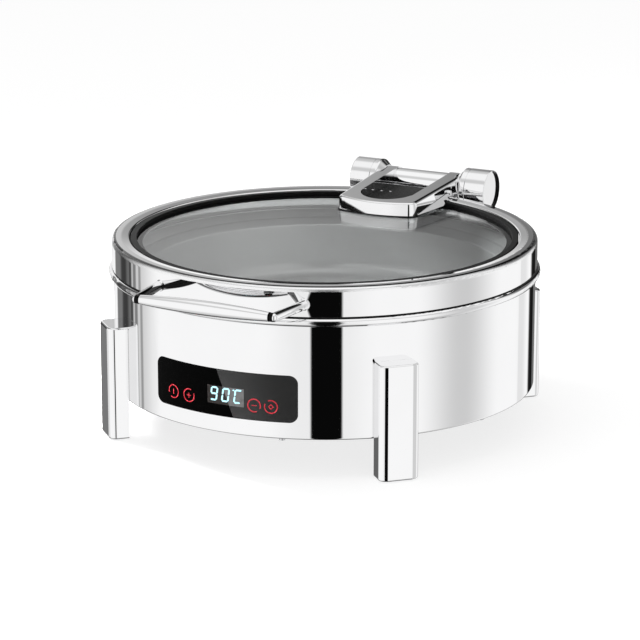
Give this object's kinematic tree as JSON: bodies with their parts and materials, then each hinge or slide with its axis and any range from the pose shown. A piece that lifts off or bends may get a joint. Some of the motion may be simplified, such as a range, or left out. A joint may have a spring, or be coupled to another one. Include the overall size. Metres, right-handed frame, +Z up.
{
  "type": "electric chafing dish",
  "caption": "Round polished steel electric chafing dish with a glass lid on a rear barrel hinge, a lift-out food pan over a heated water bath, block legs and a front touch panel.",
  "frame": {"origin": "on the dish's vertical axis, in the plane that its feet stand on", "axes": "+Z up, -Y the front with the touch panel and the handle, +Y the rear with the hinge, +X the right-hand side seen from the front"},
  "size_m": [0.4325, 0.5205, 0.2122],
  "materials": {
    "polished_steel": "mirror-polished stainless steel",
    "polished_casting": "polished and plated casting",
    "pan_steel": "satin drawn stainless steel",
    "plain_steel": "plain sheet steel",
    "spring_steel": "oiled spring wire",
    "screw_steel": "bright screws",
    "aluminium_plate": "as cast",
    "element_sheath": "heat-tinted tube",
    "black_silicone": "matte silicone",
    "clear_glass": "clear tempered glass",
    "black_panel": "deep gloss black",
    "red_ink": "printed ink",
    "black_moulding": "fine-grained moulding",
    "circuit_board": "solder mask",
    "pad_foam": "conductive foam",
    "bearing_plastic": "natural bearing plastic",
    "brass_pins": "nickel-washed brass",
    "sensor_metal": "drawn can",
    "transformer_case": "potted block",
    "lead_sleeve": "silicone sleeve"
  },
  "bodies": {
    "base": {"base_plate": "plain_steel", "base_screws": "screw_steel", "board_posts": "plain_steel", "body_shell": "polished_steel", "control_board": "circuit_board", "display_module": "black_panel", "foot_pads": "black_silicone", "heat_plate": "aluminium_plate", "heat_shield": "plain_steel", "heater_leads": "lead_sleeve", "heating_element": "element_sheath", "hinge_shaft": "plain_steel", "hinge_stand_left": "polished_casting", "hinge_stand_right": "polished_casting", "inlet_pins": "brass_pins", "inlet_screws": "screw_steel", "inlet_socket": "black_moulding", "left_end_cap": "polished_casting", "left_hinge_housing": "polished_casting", "leg_front_left": "polished_steel", "leg_front_right": "polished_steel", "leg_rear_left": "polished_steel", "leg_rear_right": "polished_steel", "leg_screws": "screw_steel", "mains_leads": "lead_sleeve", "panel_carrier": "black_moulding", "panel_glass": "black_panel", "power_board": "circuit_board", "relay": "black_moulding", "right_end_cap": "polished_casting", "right_hinge_housing": "polished_casting", "rim_ring": "polished_steel", "rim_seal": "black_silicone", "shield_posts": "plain_steel", "signal_cable": "lead_sleeve", "spring_anchor": "plain_steel", "stand_screws": "screw_steel", "temperature_sensor": "sensor_metal", "thermal_cutout": "sensor_metal", "torsion_spring": "spring_steel", "touch_icons": "red_ink", "touch_pads": "pad_foam", "transformer": "transformer_case", "water_pan": "pan_steel"},
    "lid": {"lid_frame": "polished_steel", "glass_gasket": "black_silicone", "lid_glass": "clear_glass", "handle_grip": "polished_steel", "handle_arm_left": "polished_steel", "handle_arm_right": "polished_steel", "handle_screws": "screw_steel", "hinge_arm": "polished_casting", "arm_pad": "black_silicone", "backing_plate": "plain_steel", "arm_screws": "screw_steel", "side_pins": "polished_casting", "hinge_sleeve": "polished_steel", "hinge_bushes": "bearing_plastic", "damper_rotor": "bearing_plastic"},
    "food_pan": {"food_pan": "pan_steel"}
  },
  "joints": [
    {"name": "lid_hinge", "type": "hinge", "parent": "base", "child": "lid", "pos_m": [0, 0.24, 0.19], "axis": [-1, 0, 0], "range_deg": [0, 90]},
    {"name": "pan_lift", "type": "slide", "parent": "base", "child": "food_pan", "axis": [0, 0, 1], "range_m": [0, 0.012]}
  ]
}
